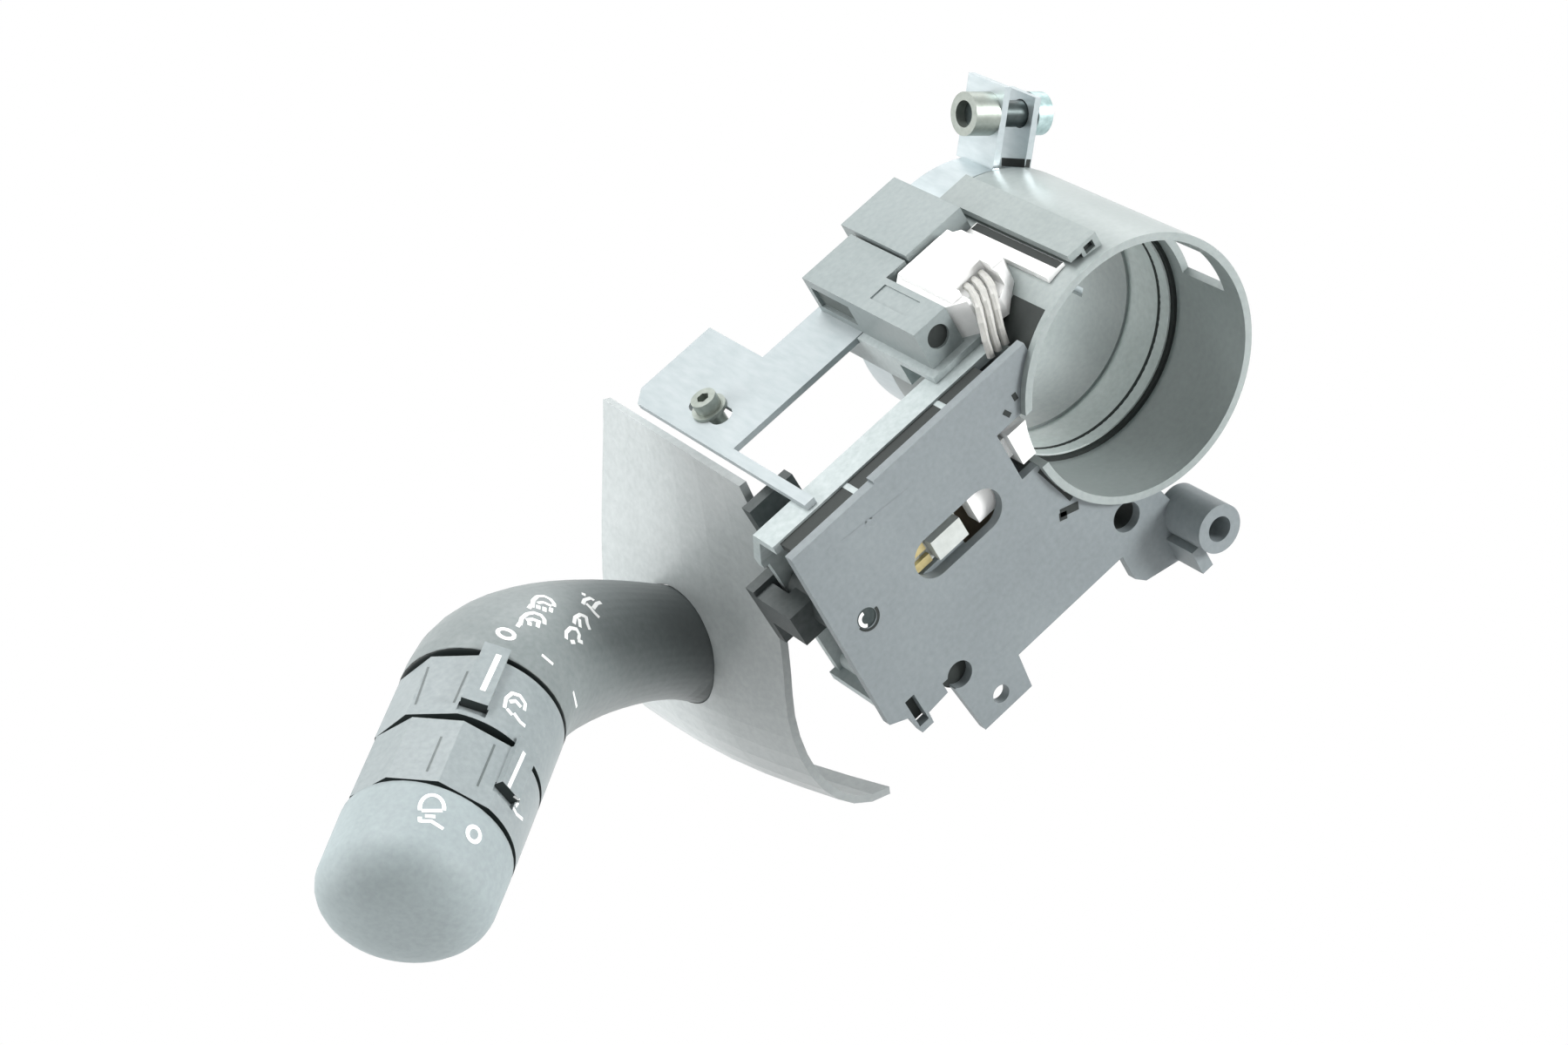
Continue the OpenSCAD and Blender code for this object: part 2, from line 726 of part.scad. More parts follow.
for (i = [0 : wire_count - 1])
  tube([for (p = wire_route) wire_entry + p + [i * (wire_d + gap), 0, 0]], wire_d / 2, 8, [1, 0, 0]);

// Contact board in the housing, the sliding contact block and its brass leaves
module contact_board() color([0.35, 0.3, 0.22])
difference() {
  block([board_left, board_y, housing_bottom + housing_wall + touch],
    [board_right, board_y + board_t, slope_z + 2]);
  for (x = low_posts)
    y_rod(x, post_z, post_r + gap, 0, housing_back);
  y_rod(pawl_x, pawl_z, pawl_pin_r + touch, 0, housing_back);
}
module contact_slider() color([0.66, 0.69, 0.68])
difference() {
  union() {
    block([slider_right - 7.5, 0.6, window_z - slider_h / 2 + 0.8],
      [slider_right - 0.5, slider_y + 1, window_z + slider_h / 2 - 0.8]);
    block([arm_left, slider_y, window_z - slider_h / 2],
      [slider_right, slider_y + slider_t, window_z + slider_h / 2]);
    block([arm_left, slider_y, window_z - slider_h / 2],
      [arm_right, slider_y + slider_t, swing_z + peg_reach + 2.6]);
    block([swing_x - 4.1, slider_y, swing_z + peg_reach - 4],
      [arm_right, slider_y + slider_t, swing_z + peg_reach + 2.6]);
  }
  block([swing_x - peg_r - slider_play, slider_y - cut, swing_z + peg_reach - 5],
    [swing_x + peg_r + slider_play, slider_y + slider_t + cut,
      swing_z + peg_reach + peg_r + slider_play]);
}
module contact_leaves() color([0.78, 0.68, 0.38])
for (z = [-2.5, 0.5]) {
  block([slider_right - 13.1, slider_y - 0.9, window_z + z],
    [slider_right - 8.1, slider_y - touch, window_z + z + 1.7]);
  block([slider_right - 11.5, slider_y + slider_t + touch, window_z + z],
    [slider_right - 2, board_y - gap, window_z + z + 1.2]);
}

// Pin and pawl that cancel the turn signal
module pawl_pin() color([0.8, 0.82, 0.83])
y_rod(pawl_x, pawl_z, pawl_pin_r, plate_t + touch, board_y + board_t);
module cancel_pawl() color([0.95, 0.95, 0.94])
difference() {
  union() {
    y_rod(pawl_x, pawl_z, pawl_r, pawl_y, pawl_y + pawl_t);
    block([pawl_x - pawl_r - 0.6, pawl_y, window_z - pawl_h], [pawl_x + 1.2, pawl_y + pawl_t, pawl_z]);
    block([pawl_x, pawl_y, pawl_z - 2.2], [pawl_x + pawl_len - 3.2, pawl_y + pawl_t, pawl_z + 2.2]);
    block([pawl_x + pawl_len - 4.8, 0.4, pawl_z - pawl_h],
      [pawl_x + pawl_len, pawl_y + pawl_t, pawl_z + pawl_h]);
  }
  y_rod(pawl_x, pawl_z, pawl_pin_r + pin_clear, pawl_y - cut, pawl_y + pawl_t + cut);
  y_rod(0, 0, mouth_r + 0.5, 0, 10);
}

// Carrier that swings on the swing pin and holds the pull pin
module swing_carrier() color([0.86, 0.86, 0.84])
difference() {
  union() {
    y_rod(swing_x, swing_z, carrier_r, plate_t + 0.9, housing_back - housing_wall - 0.7);
    block([web_left, 9.6, -3.5], [swing_x, 15.2, 3.5]);
    block([web_left, 9.6, -3.5], [web_left + web_t, web_back, 3.5]);
    block([web_left, housing_back + 0.8, -9], [pull_x + ear_r, web_back, ear_high + ear_t]);
    block([pull_x - ear_r, housing_back + 0.8, ear_low - ear_t], [pull_x + ear_r, web_back, plate_high]);
    block([swing_x - 1.7, housing_back + 0.8, ear_high], [pull_x + ear_r, web_back, plate_high]);
    for (z = [ear_low - ear_t, ear_high]) {
      block([pull_x - ear_r, web_back - 1, z], [pull_x + ear_r, pull_y, z + ear_t]);
      translate([pull_x, pull_y, z])
        cylinder(h = ear_t, r = ear_r);
    }
    block([swing_x - 2.4, 8.2, swing_z + 4], [swing_x + 2.4, 11.4, swing_z + peg_reach]);
    y_rod(swing_x, swing_z + peg_reach, peg_r + 1, 8.2, 11.4);
    y_rod(swing_x, swing_z + peg_reach, peg_r, slider_y + 0.3, 9);
    x_rod(plunger_d / 2 + barrel_wall, swing_x, barrel_end);
  }
  y_rod(swing_x, swing_z, swing_r + pin_clear, 0, housing_back + 1);
  translate([pull_x, pull_y, ear_low - ear_t - 1])
    cylinder(h = ear_high - ear_low + 2 * ear_t + 2, r = pull_r + touch);
  x_rod(plunger_d / 2 + pin_clear, barrel_end - 5.6, barrel_end + 1);
}
module pull_pin() color([0.8, 0.82, 0.83])
translate([pull_x, pull_y, ear_low - ear_t])
  cylinder(h = ear_high - ear_low + 2 * ear_t, r = pull_r);

// Sprung plunger that rides over the detent track
module detent_plunger() color([0.3, 0.33, 0.33]) {
  x_rod(plunger_d / 2, plunger_tip - plunger_len, plunger_tip - plunger_d / 2);
  translate([plunger_tip - plunger_d / 2, plunger_y, swing_z])
    sphere(r = plunger_d / 2);
}
module detent_spring() color([0.75, 0.77, 0.76])
tube([for (i = [0 : 10 * spring_turns])
  [spring_from + (spring_to - spring_from) * i / (10 * spring_turns),
    plunger_y + spring_r * cos(36 * i), swing_z + spring_r * sin(36 * i)]], spring_wire / 2, 5, [1, 0, 0]);

// Lever root: the eye on the pull pin and the arm to the lever's foot
module lever_root() color([0.4, 0.42, 0.43])
difference() {
  union() {
    translate([pull_x, pull_y, ear_low + gap])
      cylinder(h = ear_high - ear_low - 2 * gap, r = eye_r);
    bar([pull_x, pull_y, eye_mid], knee, arm_r);
    bar(knee, foot_at + 4 * leg_dir, arm_r);
    translate(knee)
      sphere(r = arm_r);
  }
  translate([pull_x, pull_y, -20])
    cylinder(h = 30, r = pull_r + pin_clear);
  bar(foot_at - leg_dir, leg_start + foot_len * leg_dir, lever_root_d / 2 + touch);
}

// Skin of the lever's leg and elbow up to one of its rings, grown by a clearance
module lever_skin(last, grow)
skin([for (i = [0 : last])
  ring_at(lever_points[i], lever_way(i), grow + lever_radius(max(0, min(1, (i - 1) / bend_steps))),
    bend_sides, [0, 1, 0])]);

// Dust shield: a ruled sheet, flared to the back and curled in at the bottom
function half_curve(c, i, t) = bezier(c[i], c[i + 1], c[i + 2], c[i + 3], t);
function curve(c) = [for (t = [0 : shield_steps]) half_curve(c, 0, t / shield_steps),
  for (t = [1 : shield_steps]) half_curve(c, 3, t / shield_steps)];
function normal_at(p, i) = let (d = along(p, i)) [-d[1], d[0]];
function inner(p) = [for (i = [0 : len(p) - 1]) p[i] - shield_t * normal_at(p, i)];
function loop_at(c, y, bow) = let (p = curve(c), q = inner(p), n = len(p) - 1) concat(
  [for (i = [0 : n]) [p[i][0] - bow * min(1, i / shield_steps), y, p[i][1]]],
  [for (i = [n : -1 : 0]) [q[i][0] - bow * min(1, i / shield_steps), y, q[i][1]]]);
module shield_sheet() {
  skin([for (k = [0 : shield_bands]) let (s = k / shield_bands) loop_at(
    [for (i = [0 : len(front_curve) - 1]) front_curve[i] + s * (rear_curve[i] - front_curve[i])],
    shield_front + s * shield_w, shield_bow * sin(180 * s))], true);
}
module dust_shield() color([0.74, 0.77, 0.77])
difference() {
  shield_sheet();
  lever_skin(leg_rings, shield_gap);
}

// Lever leg and elbow: one smooth bend that thickens towards the knob
module lever_elbow() color([0.45, 0.48, 0.5])
lever_skin(len(lever_points) - 1, 0);

// Core that the rings turn on
module knob_core() color([0.2, 0.22, 0.22])
at_knob()
  translate([0, 0, touch - elbow_end])
    cylinder(h = cap_from + elbow_end - 2 * touch, r = core_r);

// A turning ring: a smooth half for the signs, flat panels to grip and a pointer rib
module ring_profile(pointer, panels) {
  difference() {
    circle(r = knob_r);
    circle(r = core_r + ring_clear);
    for (i = [0 : panels - 1])
      rotate(pointer + rib_half + panel_turn * (i + 0.5))
        translate([knob_r * cos(panel_turn / 2) - 0.1, -knob_r / 2])
          square([2, knob_r]);
  }
}
module grip_ring(from, pointer, panels, rib_len) {
  difference() {
    translate([0, 0, from])
      linear_extrude(height = ring_len)
        ring_profile(pointer, panels);
    rotate([0, 0, pointer])
      translate([knob_r - 1, -rib_w / 2 - 0.2, from + rib_len - gap])
        cube([2, rib_w + 0.4, 2]);
  }
  rotate([0, 0, pointer]) {
    translate([knob_r - 1.4, -rib_w / 2, from + 0.1])
      cube([rib_high + 1.4, rib_w, rib_len - 0.1]);
    translate([knob_r + rib_clear, -rib_w / 2, from - rib_lead])
      cube([rib_high - rib_clear, rib_w, rib_lead + 1]);
  }
}
module light_ring() color([0.55, 0.58, 0.6])
at_knob()
  grip_ring(elbow_end, light_pointer, 5, 12);
module fog_ring() color([0.55, 0.58, 0.6])
at_knob()
  grip_ring(elbow_end + ring_pitch, fog_pointer, 5, 9);

// End cap with a tilted dome
module end_cap() color([0.6, 0.64, 0.64])
at_knob()
  hull() {
    translate([0, 0, cap_from])
      cylinder(h = 1, r = knob_r, $fn = 48);
    translate([0, 0, cap_from + cap_side])
      rotate([0, 0, cap_turn])
        rotate([0, cap_tilt, 0])
          for (climb = [0 : 11 : 88])
            translate([0, 0, cap_rise * sin(climb)])
              cylinder(h = 0.1, r = knob_r * pow(cos(climb), cap_round), $fn = 48);
  }

hub_collar();
column_bush();
front_plate();
switch_housing();
swing_pin();
connector_base();
mounting_bracket();
bracket_screw();
housing_screws();
clamp_band();
clamp_bolt();
clamp_nut();
connector_shroud_front();
connector_shroud_rear();
connector_pins_front();
connector_pins_rear();
wire_plug();
plug_lock_bar();
wires();
contact_board();
contact_slider();
contact_leaves();
pawl_pin();
cancel_pawl();
swing_carrier();
pull_pin();
detent_plunger();
detent_spring();
lever_root();
dust_shield();
lever_elbow();
knob_core();
light_ring();
fog_ring();
end_cap();
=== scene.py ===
import math

import bmesh
import bpy
from mathutils import Matrix, Vector
from mathutils.bvhtree import BVHTree


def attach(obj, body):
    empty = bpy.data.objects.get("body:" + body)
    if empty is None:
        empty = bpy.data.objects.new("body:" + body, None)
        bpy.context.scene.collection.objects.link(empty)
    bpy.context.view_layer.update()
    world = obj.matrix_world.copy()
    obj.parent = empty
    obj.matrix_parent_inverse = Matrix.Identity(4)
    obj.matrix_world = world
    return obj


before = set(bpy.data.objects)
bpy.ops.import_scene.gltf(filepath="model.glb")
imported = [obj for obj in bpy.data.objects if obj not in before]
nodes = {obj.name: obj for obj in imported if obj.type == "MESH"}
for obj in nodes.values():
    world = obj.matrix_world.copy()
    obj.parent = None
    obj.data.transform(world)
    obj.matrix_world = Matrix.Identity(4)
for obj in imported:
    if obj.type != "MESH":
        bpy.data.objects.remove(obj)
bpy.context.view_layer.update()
scene = bpy.context.scene

# Camera, as fitted to the photograph

PHOTO_WIDTH = 1800
PHOTO_HEIGHT = 1200
SENSOR_MM = 36
LENS_MM = 79.29

cam = bpy.data.cameras.new("camera")
cam_obj = bpy.data.objects.new("camera", cam)
scene.collection.objects.link(cam_obj)
cam.sensor_width = SENSOR_MM
cam.lens = LENS_MM
cam.clip_start = 0.01
cam_obj.matrix_world = Matrix((
    (0.7214, 0.6575, -0.2176, -0.19795),
    (-0.5391, 0.3358, -0.7724, -0.45226),
    (-0.4348, 0.6745, 0.5966, 0.37703),
    (0, 0, 0, 1)))
scene.camera = cam_obj
scene.view_settings.view_transform = "Standard"

# Materials

# Directions: along the column away from the driver, to the lever's side, from the elbow to the cap,
# and along the clamp bolt to its head
COLUMN_AXIS = (0, 1, 0)
LEVER_SIDE = (-1, 0, 0)
KNOB_AXIS = (-0.7391, -0.6655, 0.1045)
BOLT_AXIS = (0.766, 0, -0.643)

FINE_SCALE = 900
SLOW_SCALE = 45
BUMP_DEPTH = 0.0002
ROUGH_SPREAD = 0.06
GAP_SHADE = (0.02, 0.028, 0.027, 1)
WHITE = (1, 1, 1, 1)


def surface(name, dark, light, rough, bump, metal=0.0, spec=0.5, streak=None, ends=None, along=None, soft=0.0):
    """A moulded or plated surface: slow and fine colour variation, uneven roughness, fine bump.

    With streak, a factor for each axis, the pattern is drawn out where the factor is small.
    With ends, an axis, the faces that look along it are painted near black, the painted shade of a narrow gap.
    With along, a direction, two places on it and a factor, the colour grows lighter by that factor between them; on
    the lever and the shield this is painted light and shade.
    With soft, a radius, the facets of a turned or domed form shade as one round face.
    """
    mat = bpy.data.materials.new(name)
    mat.use_nodes = True
    tree = mat.node_tree
    tree.nodes.clear()
    out = tree.nodes.new("ShaderNodeOutputMaterial")
    bsdf = tree.nodes.new("ShaderNodeBsdfPrincipled")
    tree.links.new(bsdf.outputs[0], out.inputs[0])
    bsdf.inputs["Metallic"].default_value = metal
    bsdf.inputs["Specular IOR Level"].default_value = spec
    coord = tree.nodes.new("ShaderNodeTexCoord")
    mapping = tree.nodes.new("ShaderNodeMapping")
    tree.links.new(coord.outputs["Object"], mapping.inputs["Vector"])
    if streak:
        mapping.inputs["Scale"].default_value = streak
    fine = tree.nodes.new("ShaderNodeTexNoise")
    fine.inputs["Scale"].default_value = FINE_SCALE
    fine.inputs["Detail"].default_value = 3
    slow = tree.nodes.new("ShaderNodeTexNoise")
    slow.inputs["Scale"].default_value = SLOW_SCALE
    slow.inputs["Detail"].default_value = 4
    for noise in (fine, slow):
        tree.links.new(mapping.outputs[0], noise.inputs["Vector"])
    mix = tree.nodes.new("ShaderNodeMix")
    mix.data_type = "FLOAT"
    mix.inputs["Factor"].default_value = 0.5
    tree.links.new(fine.outputs["Fac"], mix.inputs["A"])
    tree.links.new(slow.outputs["Fac"], mix.inputs["B"])
    ramp = tree.nodes.new("ShaderNodeValToRGB")
    ramp.color_ramp.elements[0].position = 0.35
    ramp.color_ramp.elements[1].position = 0.68
    ramp.color_ramp.elements[0].color = (*dark, 1)
    ramp.color_ramp.elements[1].color = (*light, 1)
    tree.links.new(mix.outputs["Result"], ramp.inputs["Fac"])
    colour = ramp.outputs["Color"]
    # Colour scaled along a direction: painted light and shade on the lever and the shield
    if along:
        direction, start, end, factor = along
        place = tree.nodes.new("ShaderNodeVectorMath")
        place.operation = "DOT_PRODUCT"
        place.inputs[1].default_value = direction
        tree.links.new(coord.outputs["Object"], place.inputs[0])
        gain = tree.nodes.new("ShaderNodeMapRange")
        gain.interpolation_type = "SMOOTHSTEP"
        gain.inputs["From Min"].default_value = start
        gain.inputs["From Max"].default_value = end
        gain.inputs["To Min"].default_value = 1.0
        gain.inputs["To Max"].default_value = factor
        tree.links.new(place.outputs["Value"], gain.inputs["Value"])
        grow = tree.nodes.new("ShaderNodeVectorMath")
        grow.operation = "SCALE"
        tree.links.new(colour, grow.inputs[0])
        tree.links.new(gain.outputs["Result"], grow.inputs["Scale"])
        colour = grow.outputs["Vector"]
    # Painted shade: faces that look along the axis are mixed towards GAP_SHADE, near black
    if ends:
        facing = tree.nodes.new("ShaderNodeVectorMath")
        facing.operation = "DOT_PRODUCT"
        facing.inputs[1].default_value = ends
        tree.links.new(coord.outputs["Normal"], facing.inputs[0])
        edge = tree.nodes.new("ShaderNodeMapRange")
        edge.inputs["From Min"].default_value = 0.8
        edge.inputs["From Max"].default_value = 0.95
        tree.links.new(facing.outputs["Value"], edge.inputs["Value"])
        shade = tree.nodes.new("ShaderNodeMix")
        shade.data_type = "RGBA"
        tree.links.new(edge.outputs["Result"], shade.inputs["Factor"])
        tree.links.new(colour, shade.inputs["A"])
        shade.inputs["B"].default_value = GAP_SHADE
        colour = shade.outputs["Result"]
    tree.links.new(colour, bsdf.inputs["Base Color"])
    gloss = tree.nodes.new("ShaderNodeMapRange")
    gloss.inputs["To Min"].default_value = rough - ROUGH_SPREAD
    gloss.inputs["To Max"].default_value = rough + ROUGH_SPREAD
    tree.links.new(mix.outputs["Result"], gloss.inputs["Value"])
    tree.links.new(gloss.outputs["Result"], bsdf.inputs["Roughness"])
    grain = tree.nodes.new("ShaderNodeBump")
    grain.inputs["Strength"].default_value = bump
    grain.inputs["Distance"].default_value = BUMP_DEPTH
    tree.links.new(fine.outputs["Fac"], grain.inputs["Height"])
    if soft:
        rounded = tree.nodes.new("ShaderNodeBevel")
        rounded.samples = 6
        rounded.inputs["Radius"].default_value = soft
        tree.links.new(rounded.outputs["Normal"], grain.inputs["Normal"])
    tree.links.new(grain.outputs["Normal"], bsdf.inputs["Normal"])
    return mat


FINISHES = {
    "collar": surface("collar plastic", (0.247, 0.285, 0.28), (0.304, 0.342, 0.337), 0.33, 0.03, spec=0.6),
    "bush": surface("bush plastic", (0.48, 0.544, 0.528), (0.608, 0.672, 0.656), 0.3, 0.03, spec=0.6),
    "plate": surface("plate plastic", (0.168, 0.194, 0.204), (0.209, 0.24, 0.25), 0.5, 0.08),
    "housing": surface("housing plastic", (0.327, 0.378, 0.378), (0.446, 0.497, 0.497), 0.42, 0.05),
    "connector": surface("connector plastic", (0.218, 0.256, 0.256), (0.273, 0.311, 0.311), 0.42, 0.05),
    "zinc": surface("zinc plate", (0.476, 0.544, 0.561), (0.595, 0.654, 0.671), 0.34, 0.05, metal=0.75,
                    streak=(1, 0.25, 1)),
    "sheet": surface("plated sheet", (0.324, 0.370, 0.381), (0.405, 0.445, 0.456), 0.55, 0.05, metal=0.15,
                     spec=0.3, streak=(1, 0.25, 1)),
    "dark_steel": surface("dark steel", (0.035, 0.049, 0.049), (0.07, 0.0875, 0.0875), 0.35, 0.05, metal=0.6),
    # Bolt: near black along its shank, up to nine times lighter from 4.3 to 4.7 mm along BOLT_AXIS, at its head
    "bolt": surface("bolt steel", (0.035, 0.049, 0.049), (0.07, 0.0875, 0.0875), 0.35, 0.05, metal=0.6,
                    along=(BOLT_AXIS, 0.0043, 0.0047, 9)),
    "steel": surface("ground steel", (0.45, 0.47, 0.47), (0.62, 0.64, 0.64), 0.28, 0.03, metal=0.9),
    "nut": surface("nut steel", (0.26, 0.29, 0.26), (0.36, 0.39, 0.36), 0.4, 0.04, metal=0.8),
    # Near black, painted shade: the finish of the dark pieces and strokes below that stand where the part has only
    # shade
    "black": surface("shaded recess", (0.008, 0.012, 0.011), (0.016, 0.022, 0.02), 0.7, 0.02),
    # White acetal parts; the same finish paints the glint on the swing pin
    "white": surface("white acetal", (0.86, 0.87, 0.86), (0.93, 0.93, 0.92), 0.35, 0.02),
    "wire": surface("wire cover", (0.42, 0.42, 0.40), (0.55, 0.55, 0.52), 0.5, 0.03),
    "brass": surface("brass", (0.50, 0.40, 0.18), (0.68, 0.58, 0.30), 0.3, 0.03, metal=0.85),
    "board": surface("laminate", (0.16, 0.13, 0.08), (0.24, 0.19, 0.12), 0.55, 0.05),
    "slider": surface("nylon", (0.42, 0.45, 0.43), (0.52, 0.55, 0.53), 0.45, 0.03),
    # Shield: painted light and shade, darker near the elbow where its shadow falls, up to 1.6 times lighter further
    # along the column
    "shield": surface("shield plastic", (0.255, 0.279, 0.279), (0.316, 0.34, 0.34), 0.32, 0.04, spec=0.6,
                      along=(COLUMN_AXIS, 0.036, 0.062, 1.6)),
    # Lever: painted shade, darker on the leg by the shield where the elbow shades it, up to three times lighter
    # towards the elbow; faces looking along the knob's axis are painted near black as gap shade
    "lever": surface("lever plastic", (0.0564, 0.0657, 0.0657), (0.0754, 0.0845, 0.0845), 0.42, 0.08,
                     ends=KNOB_AXIS, along=(LEVER_SIDE, 0.082, 0.104, 3.0), soft=0.001),
    # Rings: faces looking along the knob's axis are painted near black, the shade in the gaps between the rings
    "ring": surface("ring plastic", (0.22, 0.255, 0.261), (0.29, 0.325, 0.331), 0.4, 0.07, ends=KNOB_AXIS),
    "cap": surface("cap plastic", (0.257, 0.301, 0.31), (0.316, 0.37, 0.377), 0.62, 0.1, soft=0.002),
    # Knob core and swing carrier: dark plastic, made near black as painted shade for the ring gaps and the
    # housing's inside
    "core": surface("core plastic and painted shade", (0.03, 0.04, 0.04), (0.06, 0.07, 0.07), 0.6, 0.05),
    # Dark painted shade for the back of the shroud's recess
    "recess": surface("painted recess shade", (0.07, 0.085, 0.08), (0.11, 0.13, 0.125), 0.6, 0.03),
    "mark": surface("mould mark", (0.17, 0.20, 0.21), (0.22, 0.25, 0.26), 0.5, 0.02),
    # Dark lines painted as the shade in the rings' grooves
    "line_dark": surface("painted groove shade", (0.09, 0.11, 0.11), (0.13, 0.15, 0.15), 0.5, 0.02),
    "ink": surface("sign ink", (0.86, 0.88, 0.87), (0.95, 0.96, 0.95), 0.5, 0.02),
}
NODE_FINISH = {
    "hub_collar": "collar", "column_bush": "bush", "clamp_band": "zinc", "clamp_bolt": "bolt", "clamp_nut": "nut",
    "front_plate": "plate", "switch_housing": "housing", "housing_screws": "dark_steel", "contact_board": "board",
    "contact_slider": "slider", "contact_leaves": "brass", "cancel_pawl": "white", "pawl_pin": "steel",
    "swing_carrier": "core", "swing_pin": "dark_steel", "detent_plunger": "dark_steel", "detent_spring": "steel",
    "pull_pin": "steel", "connector_base": "housing", "connector_shroud_front": "connector",
    "connector_shroud_rear": "connector", "connector_pins_front": "brass", "connector_pins_rear": "brass",
    "wire_plug": "white", "plug_lock_bar": "white", "wires": "wire", "mounting_bracket": "sheet",
    "bracket_screw": "nut", "lever_root": "dark_steel", "dust_shield": "shield", "lever_elbow": "lever",
    "knob_core": "core", "light_ring": "ring", "fog_ring": "ring", "end_cap": "cap",
}
for name, obj in nodes.items():
    obj.data.materials.clear()
    obj.data.materials.append(FINISHES[NODE_FINISH[name]])

# Softened edges on the moulded and bent pieces, as modifiers that leave the meshes as they are

FREE_FORMS = ("dust_shield", "lever_elbow", "wires", "detent_spring")
EDGE_RADIUS = 0.00025

for name, obj in nodes.items():
    if name in FREE_FORMS:
        continue
    mod = obj.modifiers.new("edge", "BEVEL")
    mod.width = EDGE_RADIUS
    mod.segments = 2
    mod.limit_method = "ANGLE"
    mod.angle_limit = math.radians(40)

# Helpers for what scene.py adds to the solids

BODY = "switch_body"
FOCAL_PIXELS = LENS_MM / SENSOR_MM * PHOTO_WIDTH
CAMERA_PLACE = cam_obj.matrix_world.copy()
STEP_PIXELS = 1.5
ACROSS = (-1, -0.4, 0.4, 1)
LIFT = 0.00004
surface_trees = {}


def piece(name, bm, look, body):
    """An object made of the mesh, in a finish, that rides on a body."""
    bmesh.ops.recalc_face_normals(bm, faces=bm.faces)
    mesh = bpy.data.meshes.new(name)
    bm.to_mesh(mesh)
    bm.free()
    obj = bpy.data.objects.new(name, mesh)
    scene.collection.objects.link(obj)
    obj.data.materials.append(FINISHES[look])
    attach(obj, body)
    return obj


def ray(u, v):
    """The camera's ray through a pixel of the photograph."""
    across = (u - PHOTO_WIDTH / 2) / FOCAL_PIXELS
    up = (PHOTO_HEIGHT / 2 - v) / FOCAL_PIXELS
    return CAMERA_PLACE.translation, (CAMERA_PLACE.to_3x3() @ Vector((across, up, -1))).normalized()


def tree_of(node):
    """The node's surface, ready for rays and nearest points."""
    if node not in surface_trees:
        bm = bmesh.new()
        bm.from_mesh(nodes[node].data)
        surface_trees[node] = BVHTree.FromBMesh(bm)
        bm.free()
    return surface_trees[node]


def strokes(name, node, body, lines, width, look="ink"):
    """Flat strokes of that width on a node's surface, along lines of photograph pixels."""
    tree = tree_of(node)
    bm = bmesh.new()
    for line in lines:
        dense = []
        for (u0, v0), (u1, v1) in zip(line, line[1:]):
            n = max(2, int(math.hypot(u1 - u0, v1 - v0) / STEP_PIXELS))
            dense += [(u0 + (u1 - u0) * i / n, v0 + (v1 - v0) * i / n) for i in range(n)]
        dense.append(line[-1])
        hits = []
        for u, v in dense:
            start, way = ray(u, v)
            at, normal, _, _ = tree.ray_cast(start, way)
            if at is not None:
                hits.append((at, normal if normal.dot(way) < 0 else -normal))
        if len(hits) < 2:
            continue
        rows = []
        for i, (at, normal) in enumerate(hits):
            ahead = hits[min(i + 1, len(hits) - 1)][0] - hits[max(i - 1, 0)][0]
            side = normal.cross(ahead).normalized() * width / 2
            spots = [tree.find_nearest(at + side * share)[0] for share in ACROSS]
            rows.append([bm.verts.new(spot + normal * LIFT) for spot in spots])
        for row, following in zip(rows, rows[1:]):
            for k in range(len(ACROSS) - 1):
                bm.faces.new((row[k], row[k + 1], following[k + 1], following[k]))
    return piece(name, bm, look, body)


def oval(u, v, half_u, half_v, turn=0, start=0, end=360, steps=16):
    """A turned ellipse, or an arc of one, in photograph pixels."""
    c, s = math.cos(math.radians(turn)), math.sin(math.radians(turn))
    points = []
    for i in range(steps + 1):
        angle = math.radians(start + (end - start) * i / steps)
        x, y = half_u * math.cos(angle), half_v * math.sin(angle)
        points.append((u + x * c - y * s, v + x * s + y * c))
    return points


def lower(lines):
    """The elbow's signs, a little nearer to the knob than in the photograph, so all of them lie on its face."""
    return [[(u + 5, v + 0.3 * (745 - v)) for u, v in line] for line in lines]


def lathe(name, profile, at, look, steps=32, start=0, end=360, first=None):
    """A closed profile of (along, radius) turned about the column's direction through a point, in millimetres.

    With first, a direction, the angles start and end are counted from it and the ends are closed.
    """
    axis = Vector(COLUMN_AXIS)
    side = Vector(first) if first else axis.orthogonal().normalized()
    other = axis.cross(side)
    bm = bmesh.new()
    rows = []
    whole = end - start >= 360
    for i in range(steps if whole else steps + 1):
        angle = math.radians(start + (end - start) * i / steps)
        out = side * math.cos(angle) + other * math.sin(angle)
        rows.append([bm.verts.new((Vector(at) + axis * a + out * r) / 1000) for a, r in profile])
    n = len(profile)
    for i in range(steps):
        row, following = rows[i], rows[(i + 1) % len(rows)]
        for k in range(n):
            bm.faces.new((row[k], row[(k + 1) % n], following[(k + 1) % n], following[k]))
    if not whole:
        bm.faces.new(rows[0])
        bm.faces.new(list(reversed(rows[-1])))
    return piece(name, bm, look, BODY)


def box(name, low, high, look="black"):
    """A small filling between two corners in millimetres."""
    bm = bmesh.new()
    bmesh.ops.create_cube(bm, size=1)
    for v in bm.verts:
        v.co = Vector([(low[i] + high[i]) / 2000 + v.co[i] * (high[i] - low[i]) / 1000 for i in range(3)])
    return piece(name, bm, look, BODY)


# Signs on the elbow, the rings and the cap, each where the photograph has it, in photograph pixels

BOLD = 0.001
SIGN = 0.0008
RING_SIGN = 0.0007
BAR = 0.0006

